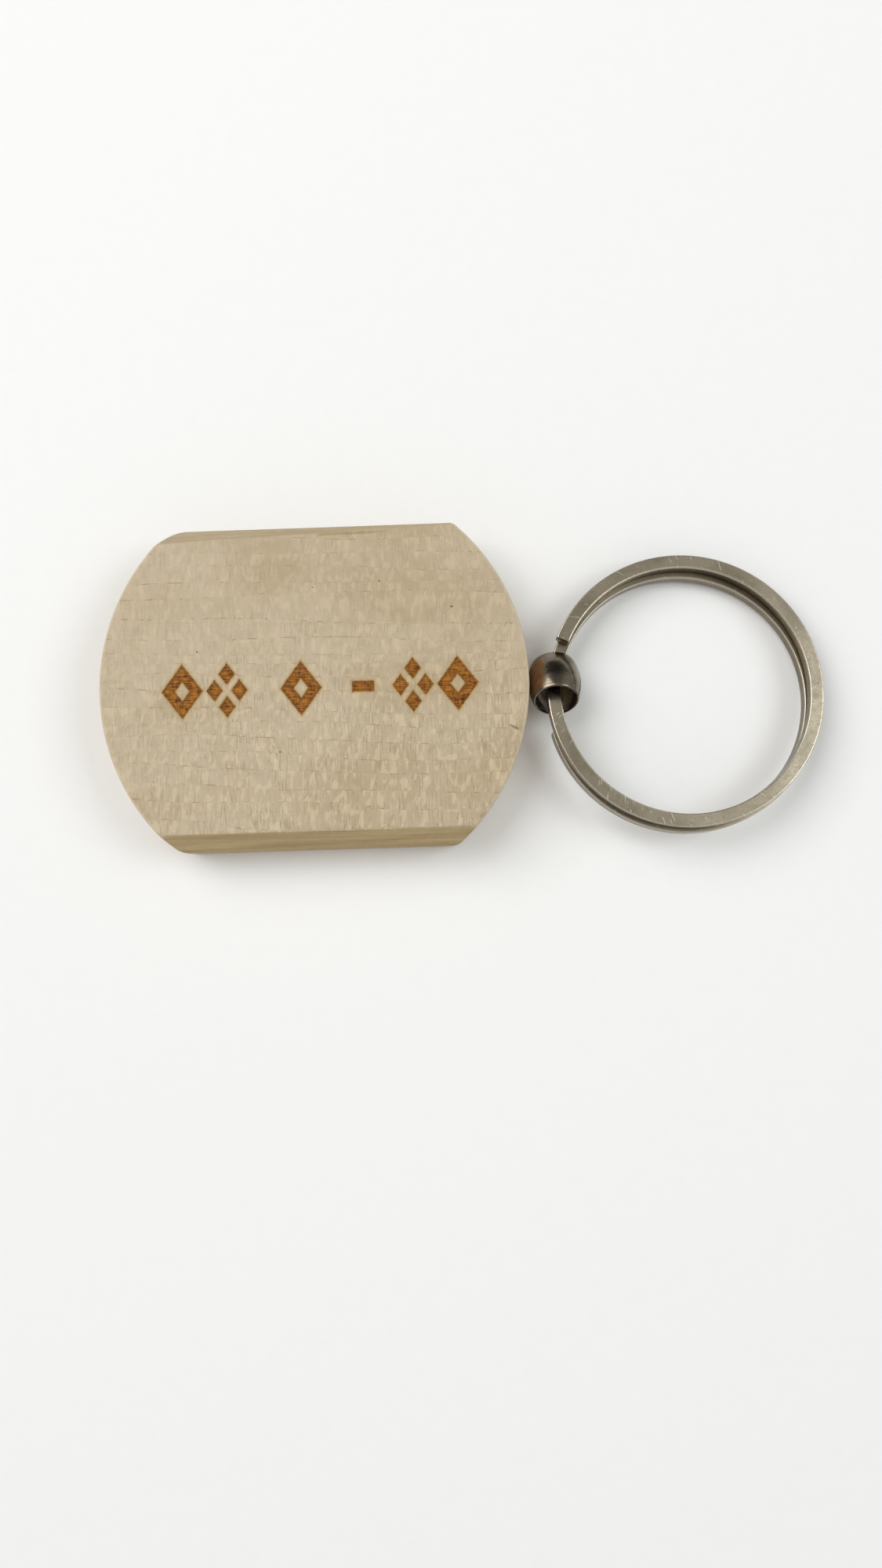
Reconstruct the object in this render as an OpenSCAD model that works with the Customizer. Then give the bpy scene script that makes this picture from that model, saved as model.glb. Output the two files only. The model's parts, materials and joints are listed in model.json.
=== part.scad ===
// Wooden key tag with a swivelling barrel and a split key ring.
// The tag lies on its back. +X runs along the tag to the ring, +Y across it and +Z out of its
// marked front face. The origin is the centre of the tag's back face. All sizes are in mm.

/* [Wooden tag] */
// Diameter of the round blank, which gives the two rounded ends
tag_d = 50; // [46:1:60]
// Width across the two straight long edges
tag_w = 38.2; // [34:0.2:42]
// Thickness of the wood
tag_t = 8; // [7.6:0.2:12]
// Width of the bevels on the two long front edges, seen from the front
bevel_w = 2.1; // [1.2:0.1:3]
// Width that is left of the upper bevel where it tapers away, at the ring end
bevel_end_w = 0.6; // [0.3:0.1:1.2]
// Angle by which the upper long edge is out of parallel with the lower one
upper_edge_turn = 0.7; // [0:0.1:1]
// Radius of the four upright corners between the rounded ends and the straight edges
corner_r = 2; // [1:0.5:4]

/* [Burnt marks] */
// Width of each lozenge
mark_w = 4.8; // [4:0.2:5]
// Height of each mark
mark_h = 6.4; // [5:0.2:7]
// Width of the burnt lines
stroke_w = 1.25; // [0.8:0.05:1.4]
// How deep the burning sits below the front face
mark_depth = 0.1; // [0.05:0.05:0.5]

/* [Swivel barrel] */
// Length of the barrel, which is rolled from one strip
barrel_l = 5.4; // [4.6:0.2:5.8]
// Outer diameter at the middle
barrel_d = 6.3; // [6.1:0.1:7]
// Outer diameter at the two open ends
barrel_end_d = 5.3; // [5.2:0.1:5.8]
// Thickness of the strip
barrel_wall = 0.3; // [0.2:0.05:0.35]
// Width of the gap where the two ends of the strip meet
seam_w = 0.2; // [0.1:0.05:0.4]
// How far round from the pin's opposite side the seam is, towards the front
seam_turn = 18; // [0:1:30]
// Turn of the barrel round the pin at rest, from lying flat in the tag's plane
barrel_turn = 33; // [25:1:40]

/* [Pin] */
// Diameter of the shank that is pressed into the wood
pin_d = 2; // [1.6:0.1:2.4]
// Diameter of the domed head inside the barrel
head_d = 3; // [2.6:0.1:3.2]
// Height of the domed head
head_h = 0.7; // [0.5:0.05:0.8]
// Length of shank inside the wood
pin_grip = 9; // [8:0.5:14]

/* [Split ring] */
// Outer diameter of the front turn
front_turn_d = 33; // [32:0.1:34]
// Outer diameter of the back turn, which is wound a little tighter
back_turn_d = 32.7; // [32:0.1:34]
// Width of the wire across the turn
wire_w = 1.6; // [1.4:0.1:1.7]
// Thickness of the wire along the ring's axis
wire_t = 1.5; // [1.2:0.1:1.6]
// Radius of the wire's four long edges
wire_edge_r = 0.15; // [0.1:0.05:0.4]
// Gap between the two turns
turn_gap = 0.1; // [0.05:0.05:0.2]
// How far the back turn has slipped towards the tag
slip_back = 0.1; // [0:0.1:0.4]
// How far the back turn has slipped sideways, towards the lower long edge
slip_down = 0.6; // [0.4:0.1:0.8]
// Lean of the ring, with its side below the marks raised
ring_rise = 4.8; // [3:0.2:6]
// Fall of the ring from the barrel to its far side
ring_fall = 2.6; // [1:0.2:3]
// Turn of the ring through the barrel, down from straight out
ring_turn = 6; // [5:0.5:8]
// How far the wire sits from the bore's middle, towards the tag
wire_seat = 0.15; // [0:0.05:0.4]

/* [Hidden] */
$fn = 96;

tag_r = tag_d / 2;
flat_y = tag_w / 2;
mid_z = tag_t / 2;
// Room that each cut runs past the surface it opens
over = 1;

// The row of marks is centred a little off the middle of the face.
marks_x = 0.7;
marks_y = -0.4;
dash_w = 2.6;
// Places of the marks along the row
lozenge_places = [-16, -2.2, 16];
cluster_places = [-10.8, 10.8];
dash_place = 5;

// The pin's hole is drilled a little off the middle of the rounded end.
pin_y = -0.2;
// The barrel turns just clear of the rounded end.
barrel_gap = 0.1;
barrel_x = tag_r + barrel_gap + barrel_d / 2;
// Radius of the strip's crown, from the barrel's half length and its rise at the middle
barrel_rise = (barrel_d - barrel_end_d) / 2;
crown_r = (pow(barrel_l / 2, 2) + pow(barrel_rise, 2)) / (2 * barrel_rise);
bore_r = barrel_d / 2 - barrel_wall;

// Radial clearance of the pin in the barrel's hole
pin_clearance = 0.05;
// The head is flat underneath, so its rim meets the round bore before its middle does.
head_seat = sqrt(pow(bore_r, 2) - pow(head_d / 2, 2)) - pin_clearance;
head_dome_r = (pow(head_d / 2, 2) + pow(head_h, 2)) / (2 * head_h);
barb_h = 0.08;
barb_pitch = 1.2;
barb_count = 5;
pin_tip = 1;
pin_end_x = tag_r - pin_grip;

// Centre lines of the two turns, in the ring's own plane with the ring's middle at the origin
front_r = (front_turn_d - wire_w) / 2;
back_r = (back_turn_d - wire_w) / 2;
middle_r = (front_r + back_r) / 2;
turn_step = wire_t + turn_gap;
front_centre = [slip_back, slip_down] / 2;
back_centre = -front_centre;
// Angles round the ring, with 180 on the side of the tag
ring_at_barrel = 180 - ring_turn;
// The wire steps from one turn to the other within this angle each side of the barrel's middle.
step_half = 11.5;
step_from = ring_at_barrel + step_half;
step_to = ring_at_barrel - step_half;
// Free ends of the two turns, just outside the barrel
front_end = ring_at_barrel - 17.5;
back_end = ring_at_barrel + 20;

function around(centre, r, angle) = centre + r * [cos(angle), sin(angle)];
function bearing(from, to) = atan2(to[1] - from[1], to[0] - from[0]);

step_start = around(front_centre, front_r, step_from);
step_finish = around(back_centre, back_r, step_to);
step_chord = norm(step_finish - step_start);
step_bearing = bearing(step_start, step_finish);
step_sweep = asin(step_chord / 2 / middle_r);
step_slope = asin(turn_step / step_chord);
// Extra sweep that runs the step into both turns
step_join = 1;

// Places its children on the barrel's bore, with +Z out of the end that faces the front.
module at_bore() {
    translate([barrel_x, pin_y, mid_z])
        rotate([90 - barrel_turn, 0, 0])
            children();
}

// Places its children on the pin's axis at x, with +Z out of the rounded end.
module at_pin(x) {
    translate([x, pin_y, mid_z])
        rotate([0, 90, 0])
            children();
}

// Plan of the tag: a disc with two straight edges, and a small disc in each of its four corners
module tag_outline() {
    corner_y = flat_y - corner_r;
    corner_x = sqrt(pow(tag_r - corner_r, 2) - pow(corner_y, 2));
    arc_y = corner_y * tag_r / (tag_r - corner_r);
    intersection() {
        circle(tag_r, $fn = 180);
        square([tag_d, 2 * arc_y], center = true);
    }
    square([2 * corner_x, tag_w], center = true);
    for (side_x = [-1, 1], side_y = [-1, 1])
        translate([side_x * corner_x, side_y * corner_y])
            circle(corner_r);
}

// Takes 45 degrees off a long front edge. The bevel is width wide at x = 0, and skewed in plan.
module bevel_cut(width, skew) {
    translate([0, flat_y - width, tag_t])
        rotate([0, 0, skew])
            rotate([-45, 0, 0])
                translate([-tag_d, -tag_w / 2, 0])
                    cube([2 * tag_d, tag_w, tag_w]);
}

// Trims the upper long edge out of parallel, from its full width at the end away from the ring.
module upper_edge_cut() {
    straight_x = sqrt(pow(tag_r, 2) - pow(flat_y, 2));
    translate([-straight_x, flat_y, -over])
        rotate([0, 0, -upper_edge_turn])
            cube([tag_d, tag_w, tag_t + 2 * over]);
}

module lozenge(width, height) {
    polygon([[width / 2, 0], [0, height / 2], [-width / 2, 0], [0, -height / 2]]);
}

// A lozenge with a wall stroke_w thick
module lozenge_frame() {
    side_distance = mark_w * mark_h / 2 / norm([mark_w, mark_h]);
    inner = 1 - stroke_w / side_distance;
    difference() {
        lozenge(mark_w, mark_h);
        lozenge(mark_w * inner, mark_h * inner);
    }
}

// Four small lozenges round a gap
module lozenge_cluster() {
    small_w = mark_w * 0.4;
    small_h = mark_h * 0.4;
    for (side = [-1, 1]) {
        translate([side * (mark_w - small_w) / 2, 0])
            lozenge(small_w, small_h);
        translate([0, side * (mark_h - small_h) / 2])
            lozenge(small_w, small_h);
    }
}

// The row of marks: lozenges and clusters, with a dash between
module marks() {
    translate([marks_x, marks_y]) {
        for (place = lozenge_places)
            translate([place, 0])
                lozenge_frame();
        for (place = cluster_places)
            translate([place, 0])
                lozenge_cluster();
        translate([dash_place, 0])
            square([dash_w, stroke_w], center = true);
    }
}

module wooden_tag() {
    skew = atan((bevel_w - bevel_end_w) / (2 * flat_y));
    color("burlywood")
        difference() {
            linear_extrude(tag_t)
                tag_outline();
            bevel_cut((bevel_w + bevel_end_w) / 2, skew - upper_edge_turn);
            upper_edge_cut();
            mirror([0, 1, 0])
                bevel_cut(bevel_w, 0);
            translate([0, 0, tag_t - mark_depth])
                linear_extrude(mark_depth + over)
                    marks();
            at_pin(pin_end_x)
                cylinder(d = pin_d, h = pin_grip + over);
        }
}

// Half section of the pin, with its point at y = 0 and its head at the top
module pin_profile() {
    seat_y = barrel_x - head_seat - pin_end_x;
    shank_top = seat_y + head_h / 2;
    // Shank and point
    polygon([[0, 0], [pin_d / 4, 0], [pin_d / 2, pin_tip], [pin_d / 2, shank_top], [0, shank_top]]);
    // Barbs that hold the shank in the wood
    for (step = [0 : barb_count - 1])
        translate([pin_d / 2, pin_tip + (step + 0.5) * barb_pitch])
            polygon([[-barb_h, -barb_h], [barb_h, barb_pitch / 2], [-barb_h, barb_pitch / 2]]);
    // Domed head, flat underneath
    intersection() {
        translate([0, seat_y + head_h - head_dome_r])
            circle(head_dome_r);
        translate([0, seat_y])
            square([head_d / 2, head_h]);
    }
}

module swivel_pin() {
    color("silver")
        at_pin(pin_end_x)
            rotate_extrude()
                pin_profile();
}

// Half section of the strip: part of a thin crown, cut off square at both ends
module barrel_profile() {
    intersection() {
        translate([barrel_d / 2 - crown_r, 0])
            difference() {
                circle(crown_r, $fn = 180);
                circle(crown_r - barrel_wall, $fn = 180);
            }
        translate([over, -barrel_l / 2])
            square([barrel_d, barrel_l]);
    }
}

module swivel_barrel() {
    color("dimgray")
        difference() {
            at_bore()
                rotate_extrude()
                    barrel_profile();
            at_pin(tag_r)
                cylinder(r = pin_d / 2 + pin_clearance, h = barrel_d / 2);
            at_bore()
                rotate(seam_turn)
                    translate([0, -seam_w / 2, -barrel_l])
                        cube([barrel_d, seam_w, 2 * barrel_l]);
        }
}

// Section of the wire, centred on the wire
module wire_section() {
    flat_w = wire_w - 2 * wire_edge_r;
    flat_t = wire_t - 2 * wire_edge_r;
    square([wire_w, flat_t], center = true);
    square([flat_w, wire_t], center = true);
    for (side_x = [-1, 1], side_y = [-1, 1])
        translate([side_x * flat_w / 2, side_y * flat_t / 2])
            circle(wire_edge_r, $fn = 32);
}

// An arc of the wire of centre line radius r, between two angles round its axis
module wire_arc(r, from, to) {
    rotate(from)
        rotate_extrude(angle = to - from, $fn = 180)
            translate([r, 0])
                wire_section();
}

// The wire where it steps from the front turn down to the back one
module wire_step() {
    across = step_bearing - 90;
    middle = (step_start + step_finish) / 2;
    to_centre = middle_r * cos(step_sweep);
    translate(middle - to_centre * [cos(across + 180), sin(across + 180)])
        rotate(across + 180)
            rotate([step_slope, 0, 0])
                wire_arc(middle_r, -step_sweep - step_join, step_sweep + step_join);
}

module split_ring() {
    color("darkgray")
        translate([barrel_x - wire_seat, pin_y, mid_z])
            rotate([-ring_rise, 0, 0])
                rotate([0, ring_fall, 0])
                    translate(-around([0, 0], middle_r, ring_at_barrel)) {
                        translate([front_centre[0], front_centre[1], turn_step / 2])
                            wire_arc(front_r, step_from - 360, front_end);
                        translate([back_centre[0], back_centre[1], -turn_step / 2])
                            wire_arc(back_r, back_end - 360, step_to);
                        wire_step();
                    }
}

wooden_tag();
swivel_pin();
swivel_barrel();
split_ring();
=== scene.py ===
"""Looks of the wooden key tag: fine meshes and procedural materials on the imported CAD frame.

The tag lies on its back. +X runs to the ring, +Y across the tag and +Z out of its marked face.
Lengths are in millimetres until they become vertices, lights or the camera, which are in metres.
"""

import json
import math

import bmesh
import bpy
from mathutils import Matrix, Vector, noise
from mathutils.geometry import delaunay_2d_cdt


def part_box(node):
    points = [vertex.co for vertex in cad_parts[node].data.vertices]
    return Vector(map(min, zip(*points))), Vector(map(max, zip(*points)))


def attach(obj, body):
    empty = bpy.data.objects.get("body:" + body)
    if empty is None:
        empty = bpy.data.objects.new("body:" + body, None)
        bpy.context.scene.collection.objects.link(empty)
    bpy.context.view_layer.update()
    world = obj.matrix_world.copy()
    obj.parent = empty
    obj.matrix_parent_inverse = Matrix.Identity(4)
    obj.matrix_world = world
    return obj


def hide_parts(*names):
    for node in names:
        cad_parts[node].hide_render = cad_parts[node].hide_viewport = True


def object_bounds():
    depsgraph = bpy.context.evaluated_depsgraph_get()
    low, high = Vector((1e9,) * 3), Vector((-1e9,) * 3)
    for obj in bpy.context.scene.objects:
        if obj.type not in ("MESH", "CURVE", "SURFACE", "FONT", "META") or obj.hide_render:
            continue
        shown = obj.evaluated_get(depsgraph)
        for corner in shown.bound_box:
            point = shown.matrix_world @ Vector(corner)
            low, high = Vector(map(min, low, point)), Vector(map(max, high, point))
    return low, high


MM = 0.001

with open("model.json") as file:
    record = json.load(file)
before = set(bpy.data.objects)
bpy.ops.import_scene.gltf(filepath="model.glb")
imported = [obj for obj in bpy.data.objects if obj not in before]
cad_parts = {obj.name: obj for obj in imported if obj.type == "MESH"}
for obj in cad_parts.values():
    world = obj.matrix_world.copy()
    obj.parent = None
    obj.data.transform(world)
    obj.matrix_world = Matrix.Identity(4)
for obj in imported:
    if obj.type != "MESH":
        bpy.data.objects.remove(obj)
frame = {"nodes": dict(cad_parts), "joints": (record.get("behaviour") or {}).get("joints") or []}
cad_low, cad_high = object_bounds()

# ---------------------------------------------------------------- driving dimensions, in mm

tag_low, tag_high = [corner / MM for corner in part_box("wooden_tag")]
TAG_R = tag_high.x
TAG_HALF_W = -tag_low.y
TAG_T = tag_high.z
ARRIS_R = 0.35
BACK_ARRIS_R = 0.3
# Radii of the four upright corners of the outline, by the signs of x and y
CORNER_R = {(1, 1): 1.1, (-1, 1): 3.6, (-1, -1): 2.4, (1, -1): 1.9}
UPPER_EDGE_TURN = math.radians(0.7)
LOWER_BEVEL_W = 2.1
# The upper bevel's width is this at the middle, and changes by this much for each mm along X.
UPPER_BEVEL_W = 1.35
UPPER_BEVEL_TAPER = 0.0393
BEVEL_SOFTNESS = 0.16

GROWTH_RING_W = 1.8
# Places of the few dark specks in the front face
SPECKS = ((7.9, 11.9), (0.1, 11.4), (5.2, -17.6), (-13.5, 4.2))
SPECK_HALF_SIZE = (0.16, 0.09)
SPECK_SLOPE = -0.7

# A row of burnt marks: lozenge frames, clusters of small lozenges and a dash, at places along X
MARKS_CENTRE = Vector((0.7, -0.4))
MARK_W = 4.8
MARK_H = 6.4
STROKE_W = 1.25
MARK_DEPTH = 0.1
SMALL_LOZENGE_SHARE = 0.4
DASH_W = 2.6
LOZENGE_PLACES = (-16, -2.2, 16)
CLUSTER_PLACES = (-10.8, 10.8)
DASH_PLACE = 5

swing = next(joint for joint in frame["joints"] if joint["name"] == "ring_swing")
# The ring swings about the barrel's centre, which lies on the pin's axis.
BARREL_CENTRE = Vector(swing["pos_m"]) / MM
PIN_AXIS_Y = BARREL_CENTRE.y
PIN_AXIS_Z = BARREL_CENTRE.z
PIN_R = 1.0
PIN_CLEARANCE = 0.05
PIN_HOLE_L = 9
# How far the bore is turned about the pin's axis, from straight across the tag
BARREL_TURN = math.radians(33)
BARREL_L = 5.4
BARREL_R = 3.15
BARREL_END_R = 2.65
BARREL_WALL = 0.3
SEAM_W = 0.2
SEAM_AT = math.radians(18)
SEAM_EDGE_R = 0.05

FRONT_TURN_R = 15.699
BACK_TURN_R = 15.55
WIRE_W = 1.6
WIRE_T = 1.5
WIRE_EDGE_R = 0.15
WIRE_END_ROUNDING = 0.18
# The front turn lies this far in front of the back one, and this far aside of it in plan.
TURN_STEP = 1.6
TURN_SLIP = Vector((0.1, 0.6))
# The ring's plane leans on its edge, towards -Y and towards +X.
RING_RISE = math.radians(4.8)
RING_FALL = math.radians(2.6)
# Angles round the ring: where the barrel is, where the wire ends, and how far the step from one
# turn to the other reaches to each side of the barrel
RING_AT_BARREL = math.radians(174)
FRONT_END = RING_AT_BARREL - math.radians(17.5)
BACK_END = RING_AT_BARREL + math.radians(20) - 4 * math.pi
STEP_HALF = math.radians(14.5)
# How far the wire lies off the bore's centre, towards the wood
WIRE_SEAT = 0.15


# ---------------------------------------------------------------- small helpers

def smooth(x):
    """0 to 1 with level ends, as x goes from 0 to 1."""
    x = min(max(x, 0.0), 1.0)
    return x * x * (3 - 2 * x)


def mix(a, b, share):
    """From a to b as share goes from 0 to 1."""
    return a + (b - a) * share


def wave(x, y, scale, seed):
    """A smooth random value from -1 to 1 at a place in mm, with features about scale mm apart."""
    return noise.noise(Vector((x / scale, y / scale, seed)))


def make_object(name, mesh, body, material, node=None):
    """Links a finished mesh, gives it its material and hangs it on its CAD body."""
    obj = bpy.data.objects.new(name, mesh)
    bpy.context.scene.collection.objects.link(obj)
    mesh.set_sharp_from_angle(angle=math.radians(38))
    mesh.materials.clear()
    mesh.materials.append(material)
    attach(obj, body)
    if node:
        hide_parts(node)
    return obj


def cut(obj, cutter):
    """Takes cutter's shape out of obj for good, and removes cutter."""
    boolean = obj.modifiers.new("cut", "BOOLEAN")
    boolean.operation = "DIFFERENCE"
    boolean.solver = "EXACT"
    boolean.object = cutter
    bpy.context.view_layer.update()
    evaluated = obj.evaluated_get(bpy.context.evaluated_depsgraph_get())
    result = bpy.data.meshes.new_from_object(evaluated)
    obj.modifiers.remove(boolean)
    bpy.data.objects.remove(cutter)
    return result


def temporary(name, mesh):
    """An object that is only used to cut, or to be cut."""
    obj = bpy.data.objects.new(name, mesh)
    bpy.context.scene.collection.objects.link(obj)
    return obj


def rod(radius, start, end):
    """A closed cylinder round the pin's axis, from start to end along X in mm."""
    mesh = bpy.data.meshes.new("rod")
    bm = bmesh.new()
    place = Matrix.Translation(Vector(((start + end) / 2, PIN_AXIS_Y, PIN_AXIS_Z)) * MM)
    bmesh.ops.create_cone(
        bm,
        cap_ends=True,
        segments=64,
        radius1=radius * MM,
        radius2=radius * MM,
        depth=(end - start) * MM,
        matrix=place @ Matrix.Rotation(math.pi / 2, 4, "Y"),
    )
    bm.to_mesh(mesh)
    bm.free()
    return temporary("rod", mesh)


# ---------------------------------------------------------------- node materials

class Signal:
    """One output socket of a node tree, with arithmetic."""

    def __init__(self, tree, socket):
        self.tree = tree
        self.socket = socket

    def __add__(self, other):
        return self.tree.math("ADD", self, other)

    def __sub__(self, other):
        return self.tree.math("SUBTRACT", self, other)

    def __rsub__(self, other):
        return self.tree.math("SUBTRACT", other, self)

    def __mul__(self, other):
        return self.tree.math("MULTIPLY", self, other)

    def __truediv__(self, other):
        return self.tree.math("DIVIDE", self, other)

    __radd__ = __add__
    __rmul__ = __mul__

    def __abs__(self):
        return self.tree.math("ABSOLUTE", self)

    def power(self, exponent):
        return self.tree.math("POWER", self, exponent)

    def fraction(self):
        return self.tree.math("FRACT", self)

    def floor(self):
        return self.tree.math("FLOOR", self)

    def least(self, other):
        return self.tree.math("MINIMUM", self, other)

    def most(self, other):
        return self.tree.math("MAXIMUM", self, other)

    def ramp(self, low, high, bottom=0.0, top=1.0):
        """Goes smoothly from bottom at low to top at high, and stays level outside."""
        node = self.tree.new("ShaderNodeMapRange")
        node.interpolation_type = "SMOOTHSTEP"
        self.tree.feed(node.inputs["Value"], self)
        node.inputs["From Min"].default_value = low
        node.inputs["From Max"].default_value = high
        node.inputs["To Min"].default_value = bottom
        node.inputs["To Max"].default_value = top
        return Signal(self.tree, node.outputs["Result"])


class Tree:
    """A material's node tree, built by calls."""

    def __init__(self, name):
        self.material = bpy.data.materials.new(name)
        self.material.use_nodes = True
        self.nodes = self.material.node_tree.nodes
        self.links = self.material.node_tree.links
        self.shader = self.nodes["Principled BSDF"]

    def new(self, kind):
        return self.nodes.new(kind)

    def feed(self, socket, value):
        """Links a signal to a socket, or sets the socket to a number, colour or vector."""
        if isinstance(value, Signal):
            self.links.new(value.socket, socket)
        else:
            socket.default_value = value

    def math(self, operation, *values):
        node = self.new("ShaderNodeMath")
        node.operation = operation
        for socket, value in zip(node.inputs, values):
            self.feed(socket, value)
        return Signal(self, node.outputs[0])

    def place_mm(self):
        """The object's own x, y and z, in mm."""
        coordinates = self.new("ShaderNodeTexCoord")
        split = self.new("ShaderNodeSeparateXYZ")
        self.links.new(coordinates.outputs["Object"], split.inputs[0])
        return [Signal(self, output) * (1 / MM) for output in split.outputs]

    def facing(self):
        """The x, y and z of the surface's direction, before any bump."""
        coordinates = self.new("ShaderNodeTexCoord")
        split = self.new("ShaderNodeSeparateXYZ")
        self.links.new(coordinates.outputs["Normal"], split.inputs[0])
        return [Signal(self, output) for output in split.outputs]

    def wire_mm(self):
        """Distances along a swept piece and round its section, in mm, from its UV map."""
        uv = self.new("ShaderNodeUVMap")
        uv.uv_map = "mm"
        split = self.new("ShaderNodeSeparateXYZ")
        self.links.new(uv.outputs["UV"], split.inputs[0])
        return Signal(self, split.outputs["X"]), Signal(self, split.outputs["Y"])

    def vector(self, x, y, z=0.0):
        node = self.new("ShaderNodeCombineXYZ")
        for socket, value in zip(node.inputs, (x, y, z)):
            self.feed(socket, value)
        return Signal(self, node.outputs[0])

    def noise(self, vector, detail=2.0, roughness=0.5):
        """Smooth noise about 0.5, with features one unit of vector apart."""
        node = self.new("ShaderNodeTexNoise")
        self.feed(node.inputs["Vector"], vector)
        node.inputs["Scale"].default_value = 1.0
        node.inputs["Detail"].default_value = detail
        node.inputs["Roughness"].default_value = roughness
        return Signal(self, node.outputs[0])

    def random(self, vector):
        """A different value from 0 to 1 for every different vector."""
        node = self.new("ShaderNodeTexWhiteNoise")
        self.feed(node.inputs["Vector"], vector)
        return Signal(self, node.outputs["Value"])

    def cells(self, vector):
        """Distance to the nearest of the points scattered one unit apart."""
        node = self.new("ShaderNodeTexVoronoi")
        self.feed(node.inputs["Vector"], vector)
        node.inputs["Scale"].default_value = 1.0
        return Signal(self, node.outputs["Distance"])

    def blend(self, share, a, b):
        """Colour a where share is 0 and b where it is 1."""
        node = self.new("ShaderNodeMix")
        node.data_type = "RGBA"
        sockets = [socket for socket in node.inputs if socket.enabled]
        for socket, value in zip(sockets, (share, a, b)):
            self.feed(socket, value)
        output = next(socket for socket in node.outputs if socket.enabled)
        return Signal(self, output)

    def bump(self, height_mm, strength=1.0):
        """Normals for a relief whose height is given in mm."""
        node = self.new("ShaderNodeBump")
        node.inputs["Strength"].default_value = strength
        node.inputs["Distance"].default_value = MM
        self.feed(node.inputs["Height"], height_mm)
        return Signal(self, node.outputs[0])

    def finish(self, colour, roughness, normal, **constants):
        """Feeds the shader, sets its other inputs to constants, and returns the material."""
        self.feed(self.shader.inputs["Base Color"], colour)
        self.feed(self.shader.inputs["Roughness"], roughness)
        self.feed(self.shader.inputs["Normal"], normal)
        for name, value in constants.items():
            self.shader.inputs[name.replace("_", " ")].default_value = value
        return self.material


def srgb(red, green, blue):
    """A colour given as 0 to 255, in the linear values that shaders use."""
    def linear(value):
        value /= 255
        return value / 12.92 if value <= 0.04045 else ((value + 0.055) / 1.055) ** 2.4
    return (linear(red), linear(green), linear(blue), 1.0)


def lozenge_distance(x, y, width, height):
    """Signed distance in mm to the outline of a lozenge, below 0 inside."""
    side = math.hypot(width, height)
    return (abs(x) * (height / side)) + (abs(y) * (width / side)) - width * height / 2 / side


def least(a, b):
    """The lesser of two numbers, or of two signals."""
    return a.least(b) if isinstance(a, Signal) else min(a, b)


def most(a, b):
    """The greater of two numbers, or of two signals."""
    return a.most(b) if isinstance(a, Signal) else max(a, b)


def mark_distance(x, y):
    """Signed distance in mm to the burnt marks, for signals and for plain numbers alike."""
    x = x - MARKS_CENTRE.x
    y = y - MARKS_CENTRE.y
    small_w = MARK_W * SMALL_LOZENGE_SHARE
    small_h = MARK_H * SMALL_LOZENGE_SHARE
    found = most(abs(x - DASH_PLACE) - DASH_W / 2, abs(y) - STROKE_W / 2)
    for place in LOZENGE_PLACES:
        frame_line = lozenge_distance(x - place, y, MARK_W, MARK_H) + STROKE_W / 2
        found = least(found, abs(frame_line) - STROKE_W / 2)
    for place in CLUSTER_PLACES:
        beside = abs(x - place) - (MARK_W - small_w) / 2
        above = abs(y) - (MARK_H - small_h) / 2
        found = least(found, lozenge_distance(beside, y, small_w, small_h))
        found = least(found, lozenge_distance(x - place, above, small_w, small_h))
    return found


def spot(x, y, centre, half_size, slope, uneven):
    """A soft uneven oval on a face: 1 inside and 0 outside. Its long axis rises by slope."""
    along = (x - centre[0]) * (1 / half_size[0])
    across = (y - centre[1] - (x - centre[0]) * slope) * (1 / half_size[1])
    distance = (along * along + across * across).power(0.5) + (uneven - 0.5) * 1.2
    return distance.ramp(0.55, 1.1, 1.0, 0.0)


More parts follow.
